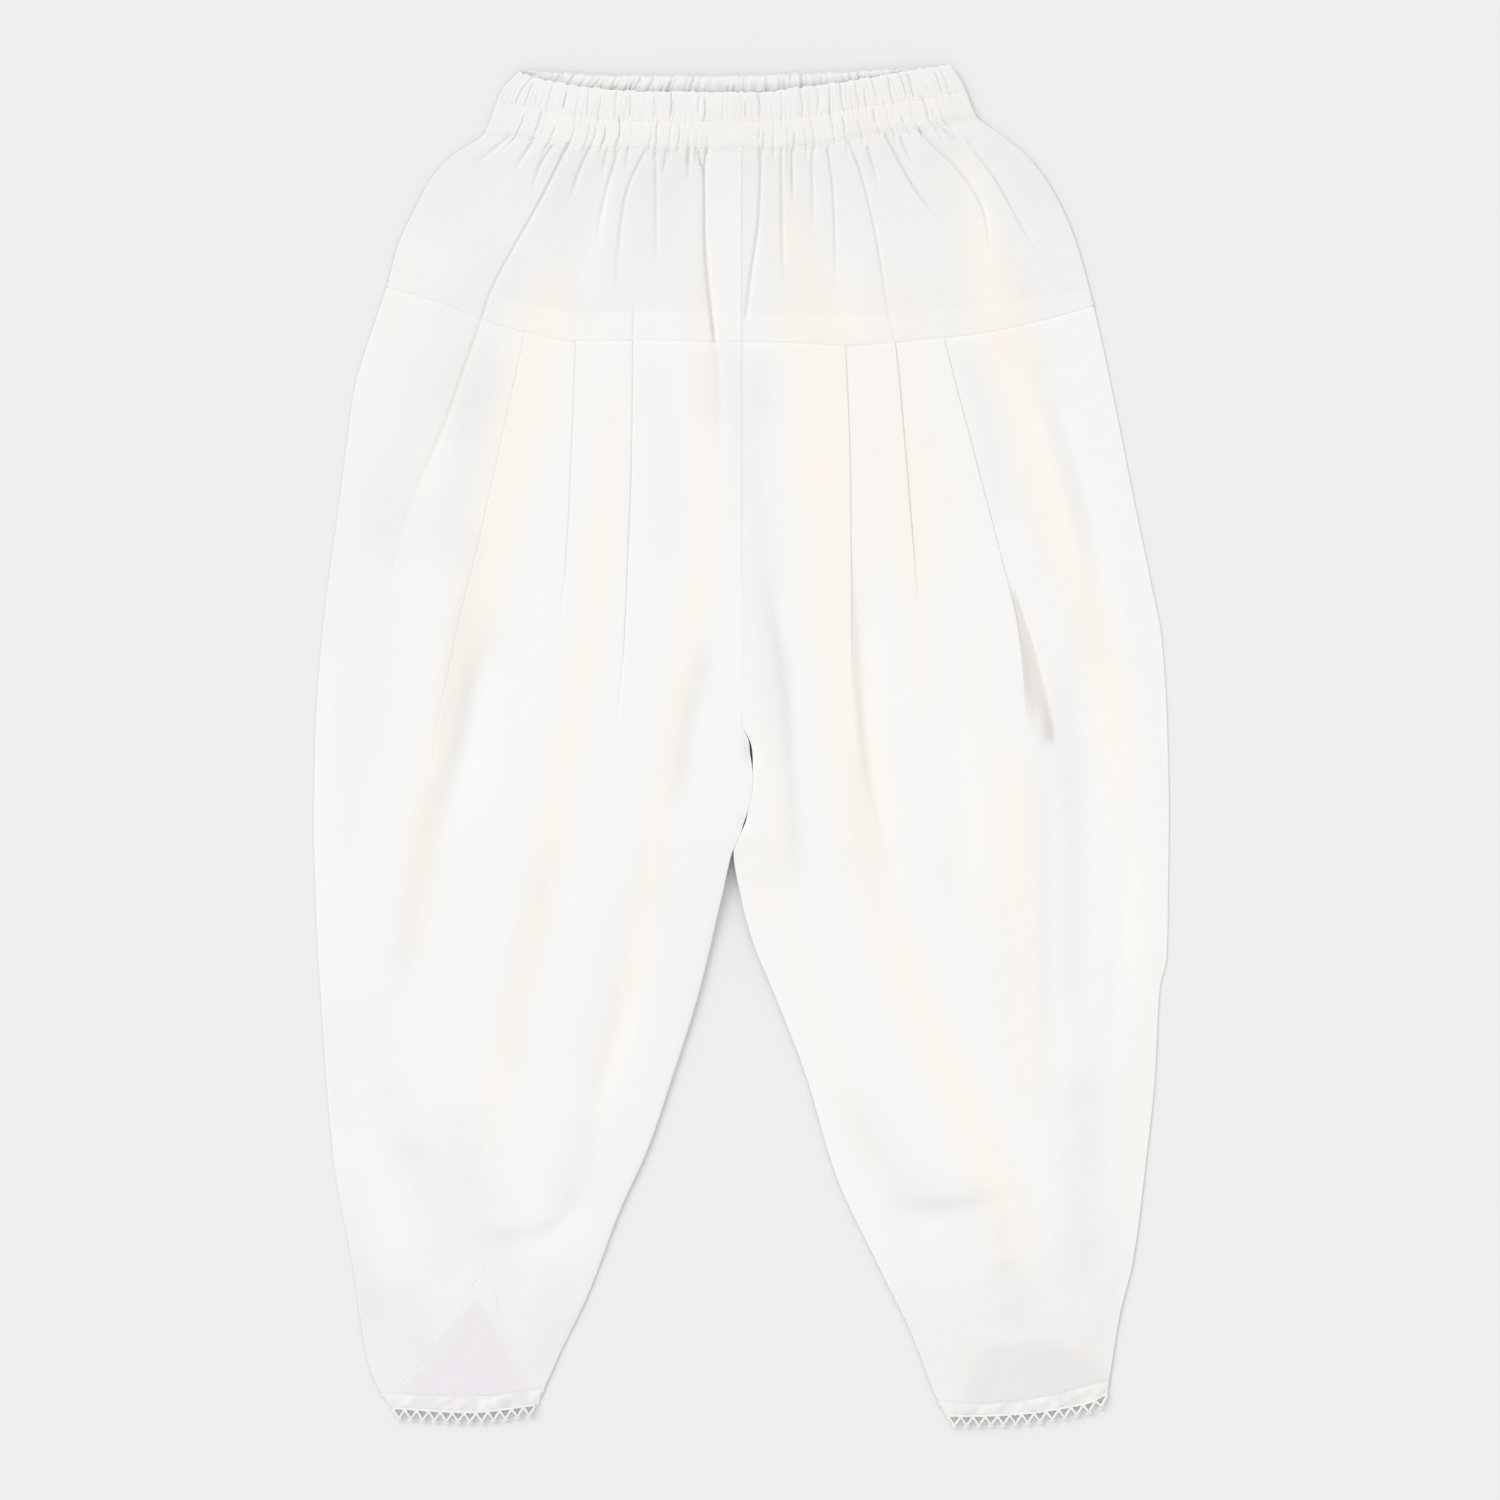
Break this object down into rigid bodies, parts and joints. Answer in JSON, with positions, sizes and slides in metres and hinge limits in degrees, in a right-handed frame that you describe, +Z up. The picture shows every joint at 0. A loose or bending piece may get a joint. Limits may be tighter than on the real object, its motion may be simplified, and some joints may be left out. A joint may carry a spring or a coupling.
{
  "type": "shalwar",
  "caption": "Child's white cotton shalwar laid flat: elastic gathered waistband, hip yoke, full pleated tapering legs and narrow hems with crochet edging.",
  "frame": {"origin": "centre of the garment's outline, on the surface that it lies on", "axes": "+Y towards the waistband, +X to the right as seen from above with the front up, +Z up from the surface"},
  "size_m": [0.4274, 0.6811, 0.0105],
  "materials": {
    "cotton": "matte white plain-weave cotton, slightly crumpled",
    "casing": "matte white cotton gathered over elastic",
    "crochet": "white cotton crochet edging"
  },
  "bodies": {
    "root": {"waistband_front": "casing", "waistband_back": "casing", "yoke_front_left": "cotton", "yoke_front_right": "cotton", "yoke_back_left": "cotton", "yoke_back_right": "cotton", "leg_front_left": "cotton", "leg_front_right": "cotton", "leg_back_left": "cotton", "leg_back_right": "cotton", "hem_front_left": "cotton", "hem_front_right": "cotton", "hem_back_left": "cotton", "hem_back_right": "cotton", "lace_front_left": "crochet", "lace_front_right": "crochet", "lace_back_left": "crochet", "lace_back_right": "crochet"}
  },
  "joints": []
}
